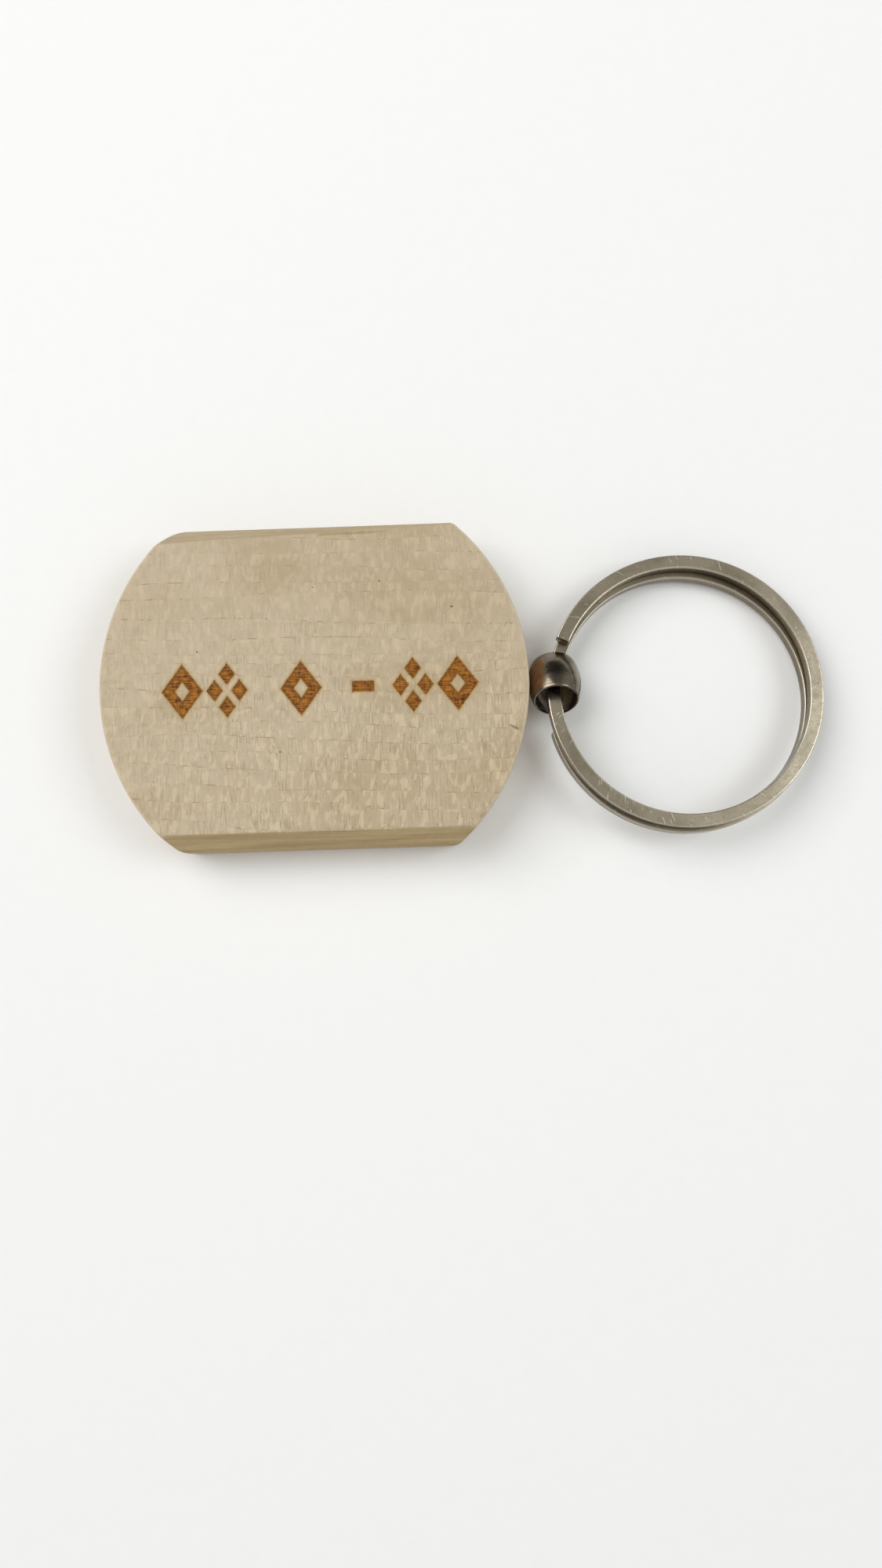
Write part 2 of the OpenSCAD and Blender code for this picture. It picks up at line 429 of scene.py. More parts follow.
def wood_figure(tree, x, y, z, jitter, streak):
    """Colour, relief in mm and flecks of the front: ring lines across, flecks and fine rays up it."""
    # Growth rings are nearly flat sheets across Y. A slow wander keeps their lines uneven.
    wander = tree.noise(tree.vector(x * 0.02, y * 0.2, z * 0.05), detail=1.0)
    ring_place = (y + x * 0.02 + wander * 5.5 + jitter * 0.12) / GROWTH_RING_W
    ring_number = ring_place.floor()
    in_ring = ring_place.fraction()
    row_shift = tree.random(tree.vector(ring_number, 0.0)) * 50.0
    # The figure is bolder towards the lower long edge, and calmer at the end away from the ring.
    bold = y.ramp(-9.0, 10.0, 1.0, 0.55) * x.ramp(-22.0, -6.0, 0.75, 1.0)

    # Ray flecks: soft pale shapes, taller than wide, that lean a little and stop at ring lines.
    lean_amount = tree.noise(tree.vector(x * 0.1, y * 0.1, 3.0), detail=1.0)
    fleck_x = x - in_ring * (lean_amount * 1.6 - 0.6)
    fleck_seed = tree.noise(tree.vector(fleck_x * 1.25 + row_shift, y * 0.5 + ring_number * 7.3, z),
                            detail=2.0, roughness=0.45)
    fleck = fleck_seed.ramp(0.53, 0.62) * in_ring.ramp(0.0, 0.06)
    wide_fleck = tree.noise(tree.vector(x * 0.6 + row_shift, y * 0.35 + ring_number * 3.1, z * 0.8),
                            detail=1.0).ramp(0.42, 0.62)

    # Fine rays run up the face in broken bundles, with a weave of short lines across them.
    ray = tree.noise(tree.vector(x * 5.0, y * 0.45 + ring_number * 1.3, z * 3.0), detail=3.0,
                     roughness=0.8)
    bundle = tree.noise(tree.vector(x * 0.4, y * 0.35, z * 0.4 + 9.0), detail=3.0)
    ray_strength = bundle.ramp(0.34, 0.62, 0.25, 1.0) * bold
    ray_dark = ray.ramp(0.5, 0.64) * ray_strength
    ray_light = ray.ramp(0.46, 0.34) * ray_strength
    weave = tree.noise(tree.vector(x * 1.2, y * 6.0, z * 3.0), detail=2.0, roughness=0.6)

    # Ring lines: thin, brown and broken.
    line_here = tree.noise(tree.vector(x * 0.8 + row_shift, ring_number * 5.7, z * 0.4),
                           detail=4.0, roughness=0.65).ramp(0.5, 0.6)
    line = in_ring.ramp(0.025, 0.06, 1.0, 0.0) * line_here

    # Slow changes of tone, and a few tiny dark pores
    tone = tree.noise(tree.vector(x * 0.06, y * 0.12, z * 0.16), detail=3.0) + x * 0.006
    mottle = tree.noise(tree.vector(x * 1.4, y * 1.1, z * 1.6), detail=3.0, roughness=0.6)
    pore = tree.cells(tree.vector(x * 0.2, y * 0.28, z * 0.28 + 2.0)).ramp(0.02, 0.045, 1.0, 0.0)

    colour = tree.blend(tone.ramp(0.38, 0.66), srgb(198, 181, 154), srgb(187, 168, 138))
    colour = tree.blend(mottle.ramp(0.35, 0.7, 0.0, 0.3), colour, srgb(178, 163, 130))
    colour = tree.blend(wide_fleck * 0.16, colour, srgb(223, 204, 177))
    colour = tree.blend(ray_dark * 0.55, colour, srgb(150, 130, 98))
    colour = tree.blend(ray_light * 0.72, colour, srgb(223, 206, 179))
    colour = tree.blend(weave.ramp(0.5, 0.7) * ray_strength * 0.25, colour, srgb(158, 142, 106))
    colour = tree.blend(fleck * bold * 0.42, colour, srgb(226, 205, 172))
    colour = tree.blend(line * 0.55, colour, srgb(156, 110, 66))
    colour = tree.blend(streak.ramp(0.6, 0.8, 0.0, 0.15), colour, srgb(160, 136, 92))
    colour = tree.blend(pore * 0.8, colour, srgb(84, 62, 42))
    height = ray * -0.02 + fleck * 0.006 - line * 0.02 + streak * 0.006
    return colour, height, fleck


def add_flaws(tree, colour, x, y, uneven):
    """Adds an ochre streak by the upper bevel, an olive flaw by the barrel, a stain and the specks."""
    dense = spot(x, y, (4.8, 17.7), (4.6, 0.22), 0.02, uneven)
    flaw = spot(x, y, (23.2, -5.8), (0.95, 0.3), -0.5, uneven)
    stain = spot(x, y, (19.3, -15.7), (0.6, 0.3), 0.6, uneven)
    speck, *others = [spot(x, y, place, SPECK_HALF_SIZE, SPECK_SLOPE, uneven) for place in SPECKS]
    for other in others:
        speck = speck.most(other)
    colour = tree.blend(dense * 0.5, colour, srgb(150, 124, 66))
    colour = tree.blend(flaw * 0.7, colour, srgb(120, 106, 58))
    colour = tree.blend(stain * 0.5, colour, srgb(140, 98, 56))
    return tree.blend(speck * 0.85, colour, srgb(58, 46, 34))


def add_long_sides(tree, colour, x, y, z, streak):
    """Shows the wood along its grain, darker and more olive, on the bevels and the long sides, with
    painted shade on those facing -Y.
    """
    facing_y = tree.facing()[1]
    # Painted shade: the bevel and side facing -Y are darker and more olive than those facing +Y.
    lower_painted_shade = tree.blend(streak.ramp(0.3, 0.75), srgb(186, 164, 122), srgb(158, 134, 94))
    upper = tree.blend(streak.ramp(0.3, 0.75), srgb(188, 169, 138), srgb(168, 149, 117))
    side = tree.blend(facing_y.ramp(-0.1, 0.1), lower_painted_shade, upper)
    fibre = tree.noise(tree.vector(x * 0.5, y * 7.0, z * 7.0), detail=2.0, roughness=0.7)
    side = tree.blend(fibre.ramp(0.5, 0.7, 0.0, 0.24), side, srgb(132, 110, 72))
    return tree.blend(abs(facing_y).ramp(0.35, 0.68) * 0.9, colour, side)


def add_painted_arris_highlight(tree, colour, x, y, z):
    """Paints a pale highlight along the front edge of the rounded ends."""
    from_middle = (x * x + y * y).power(0.5)
    painted_edge_highlight = from_middle.ramp(TAG_R - ARRIS_R, TAG_R - ARRIS_R / 2) * z.ramp(TAG_T - 0.4, TAG_T - 0.3)
    # Painted highlight on the rounded front arris of both ends.
    return tree.blend(painted_edge_highlight * 0.35, colour, srgb(232, 218, 190))


def add_marks(tree, colour, x, y, z):
    """Burns the marks into the front: a tan halo, a soft brown edge and a hatched orange-brown floor.

    Also returns the depth of the hatching in mm.
    """
    edge_noise = tree.noise(tree.vector(x * 3.0, y * 3.0, 1.0), detail=3.0)
    distance = mark_distance(x, y) + (edge_noise - 0.5) * 0.3
    on_front = z.ramp(TAG_T - 1.0, TAG_T - 0.8)
    halo = distance.ramp(0.02, 0.4, 1.0, 0.0) * on_front
    burn = distance.ramp(-0.16, 0.14, 1.0, 0.0) * on_front
    hatch_rows = tree.noise(tree.vector(x * 0.6, y * 6.0, 2.0), detail=2.0, roughness=0.6)
    hatch_columns = tree.noise(tree.vector(x * 7.0, y * 1.0, 5.0), detail=2.0)
    cloud = tree.noise(tree.vector(x * 1.2, y * 1.2, 6.0), detail=2.0)
    hatch = hatch_rows.ramp(0.38, 0.62) * 0.55 + hatch_columns.ramp(0.4, 0.66) * 0.3
    hatch = hatch + cloud.ramp(0.35, 0.65, -0.1, 0.25)
    floor_colour = tree.blend(hatch, srgb(181, 118, 38), srgb(62, 20, 0))
    floor_colour = tree.blend(distance.ramp(-0.4, -0.12) * 0.5, floor_colour, srgb(112, 60, 12))
    colour = tree.blend(halo * 0.7, colour, srgb(188, 158, 100))
    return tree.blend(burn, colour, floor_colour), hatch * burn * 0.015


def wood_material():
    """Pale quarter-sawn wood with a few flaws and the burnt marks."""
    tree = Tree("pale_wood")
    x, y, z = tree.place_mm()
    jitter = tree.noise(tree.vector(x * 0.5, y * 0.4, z * 0.3), detail=2.0)
    streak = tree.noise(tree.vector(x * 0.06, y * 1.6, z * 1.6 + 4.0), detail=3.0)
    colour, height, fleck = wood_figure(tree, x, y, z, jitter, streak)
    colour = add_flaws(tree, colour, x, y, jitter)
    colour = add_long_sides(tree, colour, x, y, z, streak)
    colour = add_painted_arris_highlight(tree, colour, x, y, z)
    colour, hatch_depth = add_marks(tree, colour, x, y, z)
    roughness = fleck.ramp(0.0, 1.0, 0.62, 0.5)
    normal = tree.bump(height - hatch_depth, 0.5)
    return tree.finish(colour, roughness, normal, Specular_IOR_Level=0.2)


def ring_material():
    """Satin nickel wire: faint brush lines across it, scratches, painted edge highlights, and painted
    shade on its sides and between the turns.
    """
    tree = Tree("satin_nickel")
    along, round_wire = tree.wire_mm()
    brush = tree.noise(tree.vector(along * 8.0, round_wire * 0.5), detail=2.0, roughness=0.6)
    patch = tree.noise(tree.vector(along * 0.16, round_wire * 0.3, 4.0), detail=3.0)
    mottle = tree.noise(tree.vector(along * 1.3, round_wire * 1.3, 7.0), detail=3.0, roughness=0.6)
    spark = tree.cells(tree.vector(along * 1.6, round_wire * 1.6, 11.0)).ramp(0.03, 0.08, 1.0, 0.0)
    nick = tree.cells(tree.vector(along * 0.5, round_wire * 0.8, 3.0)).ramp(0.04, 0.09, 1.0, 0.0)
    scratch = tree.noise(tree.vector((along + round_wire * 1.4) * 0.3,
                                     (along - round_wire * 0.6) * 6.0, 1.0),
                         detail=1.0, roughness=0.4).ramp(0.7, 0.74)

    # Distances round the section from the middles of the wire's top, inner, lower and outer flats
    corner = math.pi / 2 * WIRE_EDGE_R
    top_flat = WIRE_W - 2 * WIRE_EDGE_R
    side_flat = WIRE_T - 2 * WIRE_EDGE_R
    quarter = corner + (top_flat + side_flat) / 2
    middles = [corner + top_flat / 2 + quarter * turn for turn in range(4)]
    from_top, from_inner, from_lower, from_outer = [abs(round_wire - middle) for middle in middles]

    # Painted shade darkens the faces where the turns face each other, mostly under the front one. The
    # sides get brownish painted shade, and the long edges between them and the top get a painted
    # bright highlight.
    on_top = from_top.ramp(WIRE_W * 0.42, WIRE_W * 0.5, 1.0, 0.0)
    below = from_lower.ramp(WIRE_W * 0.44, WIRE_W * 0.56, 1.0, 0.0)
    turn_change = (2 * math.pi - RING_AT_BARREL) * FRONT_TURN_R
    on_back_turn = along.ramp(turn_change - 1.0, turn_change + 5.0)
    painted_gap_shade = on_top * on_back_turn * 0.25 + below * (1.0 - on_back_turn) * 0.85
    side_painted_shade = from_inner.least(from_outer).ramp(side_flat / 2 - 0.1, side_flat / 2 + 0.1, 1.0, 0.0)
    from_edge = abs(from_top - (top_flat + corner) / 2)
    painted_edge_highlight = from_edge.ramp(corner * 0.35, corner * 0.75, 1.0, 0.0)

    colour = tree.blend(patch.ramp(0.35, 0.65), srgb(174, 163, 143), srgb(151, 142, 122))
    colour = tree.blend(mottle.ramp(0.42, 0.72, 0.0, 0.45), colour, srgb(130, 121, 102))
    colour = tree.blend(brush.ramp(0.5, 0.75, 0.0, 0.25), colour, srgb(124, 114, 99))
    colour = tree.blend(spark * 0.35, colour, srgb(216, 210, 196))
    colour = tree.blend(scratch * 0.6, colour, srgb(236, 231, 220))
    colour = tree.blend(nick * 0.5, colour, srgb(96, 86, 72))
    # Painted shade on the wire's sides, brownish
    colour = tree.blend(side_painted_shade * 0.55, colour, srgb(90, 78, 64))
    # Painted highlight along the long edges of the top
    colour = tree.blend(painted_edge_highlight * 0.45, colour, srgb(232, 224, 206))
    # Painted shade between the turns
    colour = tree.blend(painted_gap_shade, colour, srgb(66, 50, 36))
    roughness = mottle.ramp(0.3, 0.8, 0.24, 0.36) + scratch * 0.12 + painted_gap_shade * 0.2
    height = brush * 0.003 - scratch * 0.006 - nick * 0.01 + mottle * 0.003 + spark * 0.003
    return tree.finish(colour, roughness, tree.bump(height, 0.6), Metallic=1.0)


def barrel_material():
    """Dark nickel with fine lines drawn round the barrel, a painted warm reflection of the wood, and
    painted shade inside the bore.
    """
    tree = Tree("dark_nickel")
    around, across = tree.wire_mm()
    line = tree.noise(tree.vector(around * 0.3, across * 11.0), detail=3.0, roughness=0.75)
    band = tree.noise(tree.vector(around * 0.12, across * 1.3, 5.0), detail=2.0)
    cloud = tree.noise(tree.vector(around * 0.7, across * 0.7, 2.0), detail=3.0)
    scuff = tree.noise(tree.vector(around * 1.4, across * 7.0, 8.0), detail=2.0).ramp(0.66, 0.74)
    # The strip's section runs up its outside first, then down the bore.
    outside = BARREL_L + BARREL_WALL
    # Painted shade darkens the inside of the bore.
    bore_painted_shade = across.ramp(outside + 0.1, outside + 0.7)
    # On the side towards the wood the barrel gets a painted warm reflection of the wood, but not on
    # its lips.
    x = tree.place_mm()[0]
    off_lips = abs(across - BARREL_L / 2).ramp(BARREL_L * 0.36, BARREL_L * 0.46, 1.0, 0.0)
    painted_wood_reflection = x.ramp(BARREL_CENTRE.x - 1.7, BARREL_CENTRE.x - 1.2, 1.0, 0.0) * off_lips

    colour = tree.blend(cloud.ramp(0.35, 0.7), srgb(144, 133, 117), srgb(112, 103, 90))
    # Painted warm reflection of the wood
    colour = tree.blend(painted_wood_reflection * 0.65, colour, srgb(204, 160, 124))
    colour = tree.blend(line.ramp(0.46, 0.68, 0.0, 0.75), colour, srgb(58, 52, 45))
    colour = tree.blend(scuff * 0.5, colour, srgb(205, 198, 184))
    # Painted shade inside the bore
    colour = tree.blend(bore_painted_shade * 0.7, colour, srgb(72, 65, 57))
    roughness = band.ramp(0.3, 0.7, 0.13, 0.24) + line.ramp(0.4, 0.8, 0.0, 0.1)
    height = line * 0.01 + band * 0.008 + cloud * 0.012
    return tree.finish(colour, roughness, tree.bump(height, 0.6), Metallic=1.0)


def pin_material():
    """Nickel-plated steel with turning marks round the pin's axis."""
    tree = Tree("pin_nickel")
    x, y, z = tree.place_mm()
    from_axis = ((y - PIN_AXIS_Y).power(2.0) + (z - PIN_AXIS_Z).power(2.0)).power(0.5)
    turned = tree.noise(tree.vector(from_axis * 9.0, x * 6.0), detail=2.0)
    cloud = tree.noise(tree.vector(x * 0.8, y * 0.8, z * 0.8), detail=3.0)
    colour = tree.blend(cloud, srgb(168, 158, 142), srgb(120, 110, 96))
    colour = tree.blend(turned.ramp(0.5, 0.8, 0.0, 0.4), colour, srgb(88, 80, 70))
    roughness = turned.ramp(0.3, 0.8, 0.24, 0.38)
    return tree.finish(colour, roughness, tree.bump(turned * 0.004, 0.5), Metallic=1.0)


def floor_material():
    """Plain pale paper."""
    tree = Tree("pale_floor")
    x, y, z = tree.place_mm()
    fibre = tree.noise(tree.vector(x * 0.5, y * 0.5, z), detail=3.0)
    colour = tree.blend(fibre, srgb(250, 250, 249), srgb(253, 253, 252))
    return tree.finish(colour, 0.9, tree.bump(fibre * 0.01, 0.2), Specular_IOR_Level=0.1)


# ---------------------------------------------------------------- wooden tag

def arc(centre, radius, start, end, count):
    """Points and outward directions along an arc, without its last point."""
    for step in range(count):
        angle = mix(start, end, step / count)
        outward = Vector((math.cos(angle), math.sin(angle)))
        yield centre + outward * radius, outward


def tag_outline():
    """The tag's plan, anticlockwise: (point, outward direction) pairs, in mm."""
    corners = []
    for side_x, side_y in ((1, 1), (-1, 1), (-1, -1), (1, -1)):
        radius = CORNER_R[side_x, side_y]
        centre_y = TAG_HALF_W - radius
        centre_x = math.sqrt((TAG_R - radius) ** 2 - centre_y ** 2)
        centre = Vector((side_x * centre_x, side_y * centre_y))
        # Each corner joins a rounded end to a straight edge.
        at_end = math.atan2(centre.y, centre.x)
        at_edge = side_y * math.pi / 2
        start, stop = (at_end, at_edge) if side_x == side_y else (at_edge, at_end)
        corners.append((list(arc(centre, radius, start, stop, 14)), at_end))

    outline = []
    for index, (corner, at_end) in enumerate(corners):
        following, next_at_end = corners[(index + 1) % 4]
        outline += corner
        if index % 2 == 0:
            outline += straight_edge(corner[-1][0], following[0][0])
        else:
            turn = (next_at_end - at_end) % (2 * math.pi)
            outline += arc(Vector((0.0, 0.0)), TAG_R, at_end, at_end + turn, 72)
    return [(trimmed(point), outward) for point, outward in outline]


def straight_edge(start, stop):
    """Points and outward directions between the ends of a long edge."""
    outward = Vector((0.0, math.copysign(1.0, start.y)))
    start = Vector((start.x, outward.y * TAG_HALF_W))
    steps = 60
    for step in range(1, steps):
        yield start.lerp(stop, step / steps), outward


def trimmed(point):
    """Moves a point of the plan in to the upper edge, which is a little out of parallel."""
    along = point.x + math.sqrt(TAG_R ** 2 - TAG_HALF_W ** 2)
    limit = TAG_HALF_W - max(along, 0.0) * math.tan(UPPER_EDGE_TURN)
    return Vector((point.x, min(point.y, limit)))


def lower_crease(x):
    """Y of the line where the lower bevel meets the front face, a little uneven from sanding."""
    return LOWER_BEVEL_W - TAG_HALF_W - 0.07 * wave(x, 0, 7, 1.5)


def upper_crease(x):
    """Y of the line where the upper bevel meets the front face. The bevel tapers towards the ring."""
    return TAG_HALF_W - UPPER_BEVEL_W + UPPER_BEVEL_TAPER * x - 0.1 * wave(x, 0, 9, 4.5)


def front_height(x, y):
    """Height of the front over the back face at a place in plan, with both bevels."""
    height = TAG_T
    for bevel in (TAG_T + y - lower_crease(x), TAG_T + upper_crease(x) - y):
        # Smooth minimum, so that the edge along the bevel is a little worn
        gap = max(BEVEL_SOFTNESS - abs(height - bevel), 0.0)
        height = min(height, bevel) - gap * gap / (4 * BEVEL_SOFTNESS)
    return height


def arris_drop(distance, radius):
    """How far a rounded edge lies below the flat it leads into, at a distance in from the side."""
    if distance >= radius:
        return 0.0
    return radius - math.sqrt(radius ** 2 - (radius - distance) ** 2)


def wooden_tag(material):
    """The block: loops from the back arris up the sides and over the front arris, then both faces."""
    outline = tag_outline()
    count = len(outline)
    back_insets = [BACK_ARRIS_R * share for share in (1.0, 0.62, 0.3, 0.08, 0.0)]
    front_insets = [ARRIS_R * (1 - math.cos(math.radians(angle))) for angle in (0, 22, 45, 68, 90)]
    side_shares = (0.12, 0.3, 0.5, 0.7, 0.88)

    bm = bmesh.new()

    def add_loop(inset, height_of):
        loop = []
        for point, outward in outline:
            place = point - outward * inset
            loop.append(bm.verts.new(Vector((place.x, place.y, height_of(place))) * MM))
        return loop

    def bridge(first, second):
        for index in range(count):
            after = (index + 1) % count
            bm.faces.new((first[index], first[after], second[after], second[index]))

    def back_height(distance):
        return lambda place: arris_drop(distance, BACK_ARRIS_R)

    loops = [add_loop(inset, back_height(inset)) for inset in back_insets]
    for share in side_shares:
        loops.append(add_loop(0.0, lambda place, share=share: mix(
            BACK_ARRIS_R, front_height(place.x, place.y) - ARRIS_R, share)))
    for inset in front_insets:
        loops.append(add_loop(inset, lambda place, inset=inset: (
            front_height(place.x, place.y) - arris_drop(inset, ARRIS_R))))
    for first, second in zip(loops, loops[1:]):
        bridge(first, second)

    fill_face(bm, loops[0], spacing=2.5, height_of=lambda x, y: 0.0, upward=False)
    fill_front(bm, loops[-1])

    bmesh.ops.recalc_face_normals(bm, faces=bm.faces)
    for face in bm.faces:
        face.smooth = True
    mesh = bpy.data.meshes.new("wooden_tag")
    bm.to_mesh(mesh)
    bm.free()

    blank = temporary("blank", mesh)
    drilled = cut(blank, rod(PIN_R, TAG_R - PIN_HOLE_L, TAG_R + 1))
    bpy.data.objects.remove(blank)
    drilled.name = "wooden_tag_fine"
    return make_object("wooden_tag_fine", drilled, "tag", material, "wooden_tag")


def is_inside(point, edge, margin):
    """Whether a point in plan is inside a closed outline, and not within margin mm of its points.

    Only every second point of the outline is measured, which is close enough.
    """
    inside = False
    for start, end in zip(edge, edge[1:] + edge[:1]):
        if (start.x <= point.x) != (end.x <= point.x):
            crossing = mix(start.y, end.y, (point.x - start.x) / (end.x - start.x))
            if crossing > point.y:
                inside = not inside
    return inside and min((point - corner).length for corner in edge[::2]) > margin


def grid_points(edge, spacing):
    """Points of a square grid inside a closed outline, in plan and in mm."""
    columns = int(2 * TAG_R / spacing)
    rows = int(2 * TAG_HALF_W / spacing)
    places = (Vector((mix(-TAG_R, TAG_R, column / columns), mix(-TAG_HALF_W, TAG_HALF_W, row / rows)))
              for column in range(1, columns) for row in range(1, rows))
    return [place for place in places if is_inside(place, edge, spacing * 0.6)]


def fill_face(bm, loop, spacing, height_of, upward, outlines=(), lines=()):
    """Fills a loop with triangles over a grid, with edges along closed outlines and open lines."""
    edge = [vertex.co.xy / MM for vertex in loop]
    points = list(edge)
    edges = [(index, (index + 1) % len(loop)) for index in range(len(loop))]
    for outline in outlines:
        first = len(points)
        points += outline
        edges += [(first + index, first + (index + 1) % len(outline)) for index in range(len(outline))]
    for line in lines:
        kept = [point for point in line if is_inside(point, edge, spacing * 0.3)]
        first = len(points)
        points += kept
        edges += [(first + index, first + index + 1) for index in range(len(kept) - 1)]
    points += grid_points(edge, spacing)
    found, _, faces, origins, _, _ = delaunay_2d_cdt(points, edges, [], 1, 1e-5)
    vertices = []
    for point, sources in zip(found, origins):
        on_loop = [source for source in sources if source < len(loop)]
        if on_loop:
            vertices.append(loop[on_loop[0]])
        else:
            vertices.append(bm.verts.new(Vector((point.x, point.y, height_of(point.x, point.y))) * MM))
    for face in faces:
        corners = [vertices[index] for index in face]
        if not upward:
            corners.reverse()
        bm.faces.new(corners)


def stepped(centre, corners, steps):
    """A closed outline through corners round a centre, with each side cut into steps."""
    return [centre + start.lerp(end, step / steps)
            for start, end in zip(corners, corners[1:] + corners[:1])
            for step in range(steps)]


def lozenge_points(centre, width, height):
    """The closed outline of a lozenge that stands on one corner."""
    corners = [Vector((width / 2, 0)), Vector((0, height / 2)), Vector((-width / 2, 0)),
               Vector((0, -height / 2))]
    return stepped(centre, corners, 8)


def mark_outlines(inset):
    """Outlines of all burnt marks in plan, moved in by inset mm."""
    outlines = []
    # The share of its size that a lozenge loses for each mm that its sides move in
    loss = 2 * math.hypot(MARK_W, MARK_H) / (MARK_W * MARK_H)
    small_loss = loss / SMALL_LOZENGE_SHARE
    small_w = MARK_W * SMALL_LOZENGE_SHARE
    small_h = MARK_H * SMALL_LOZENGE_SHARE
    for place in LOZENGE_PLACES:
        centre = MARKS_CENTRE + Vector((place, 0))
        outer = 1 - inset * loss
        inner = 1 - (STROKE_W - inset) * loss
        outlines.append(lozenge_points(centre, MARK_W * outer, MARK_H * outer))
        outlines.append(lozenge_points(centre, MARK_W * inner, MARK_H * inner))
    for place in CLUSTER_PLACES:
        size = 1 - inset * small_loss
        for across, up in ((1, 0), (-1, 0), (0, 1), (0, -1)):
            shift = Vector((across * (MARK_W - small_w) / 2, up * (MARK_H - small_h) / 2))
            centre = MARKS_CENTRE + Vector((place, 0)) + shift
            outlines.append(lozenge_points(centre, small_w * size, small_h * size))
    half_w = DASH_W / 2 - inset
    half_h = STROKE_W / 2 - inset
    corners = [Vector((half_w, half_h)), Vector((-half_w, half_h)), Vector((-half_w, -half_h)),
               Vector((half_w, -half_h))]
    outlines.append(stepped(MARKS_CENTRE + Vector((DASH_PLACE, 0)), corners, 6))
    return outlines


def fill_front(bm, loop):
    """The front face, with the marks sunk into it between an edge and a floor outline."""
    edge_w = 0.09

    def height_of(x, y):
        height = front_height(x, y)
        sunk = smooth(-mark_distance(x, y) / edge_w)
        uneven = 0.02 * wave(x, y, 0.5, 2.5)
        return height - sunk * (MARK_DEPTH - uneven)

    rims = mark_outlines(0.0) + mark_outlines(edge_w)
    steps = 120
    across = [mix(-TAG_R, TAG_R, step / steps) for step in range(steps + 1)]
    creases = [[Vector((x, crease(x) + shift * BEVEL_SOFTNESS)) for x in across]
               for crease in (lower_crease, upper_crease)
               for shift in (-1, -0.4, 0.4, 1)]
    fill_face(bm, loop, spacing=0.55, height_of=height_of, upward=True, outlines=rims, lines=creases)


# ---------------------------------------------------------------- swept strip and wire

def skin(name, rings, stations, section):
    """A closed mesh over rings of places in metres, each ring one turn round the same section.

    Its UV map "mm" holds the rings' stations along the piece and the distance round the section.
    """
    lengths = [0.0]
    for before, after in zip(section, section[1:] + section[:1]):
        lengths.append(lengths[-1] + math.dist(before, after))
    bm = bmesh.new()
    uv_layer = bm.loops.layers.uv.new("mm")
    rings = [[bm.verts.new(place) for place in ring] for ring in rings]
    count = len(section)
    for index in range(len(rings) - 1):
        near, far = rings[index], rings[index + 1]
        for point in range(count):
            after = (point + 1) % count
            face = bm.faces.new((near[point], near[after], far[after], far[point]))
            face.smooth = True
            along = (stations[index], stations[index], stations[index + 1], stations[index + 1])
            round_section = (lengths[point], lengths[point + 1], lengths[point + 1], lengths[point])
            for loop, place in zip(face.loops, zip(along, round_section)):
                loop[uv_layer].uv = place
    for ring in (rings[0], rings[-1]):
        cap = bm.faces.new(ring)
        for loop, point in zip(cap.loops, section):
            loop[uv_layer].uv = point
    bmesh.ops.recalc_face_normals(bm, faces=bm.faces)
    mesh = bpy.data.meshes.new(name)
    bm.to_mesh(mesh)
    bm.free()
    return mesh


def with_rounded_ends(start, stop, steps, rounding, profile):
    """(angle, share of the section) pairs from start to stop, for a section that shrinks at both ends.

    profile pairs a part of the rounding, counted from the end, with the section's share there.
    """
    inward = math.copysign(rounding, stop - start)
    near = [(start + inward * part, share) for part, share in profile]
    middle = [(mix(start, stop, step / steps), 1.0) for step in range(1, steps)]
    far = [(stop - inward * part, share) for part, share in reversed(profile)]
    return near + middle + far


# ---------------------------------------------------------------- swivel barrel

def barrel_section():
    """The strip's section: (radius, height) points round it, with rounded lips, in mm."""
    rise = BARREL_R - BARREL_END_R
    crown_r = ((BARREL_L / 2) ** 2 + rise ** 2) / (2 * rise)
    reach = math.asin(BARREL_L / 2 / crown_r)
    middle = BARREL_R - crown_r
    lip_r = BARREL_WALL / 2
    lip_turn = lip_r / crown_r
    steps = 28
    section = []
    for step in range(steps + 1):
        angle = mix(-reach + lip_turn, reach - lip_turn, step / steps)
        section.append((middle + crown_r * math.cos(angle), crown_r * math.sin(angle)))
    mid_r = crown_r - lip_r

    def lip(end_angle, start, turn):
        centre = (middle + mid_r * math.cos(end_angle), mid_r * math.sin(end_angle))
        for step in range(1, 8):
            angle = end_angle + start + turn * step / 8
            yield centre[0] + lip_r * math.cos(angle), centre[1] + lip_r * math.sin(angle)

    section += lip(reach - lip_turn, 0, math.pi)
    for step in range(steps + 1):
        angle = mix(reach - lip_turn, -reach + lip_turn, step / steps)
        inside = crown_r - BARREL_WALL
        section.append((middle + inside * math.cos(angle), inside * math.sin(angle)))
    section += lip(-reach + lip_turn, math.pi, math.pi)
    return section


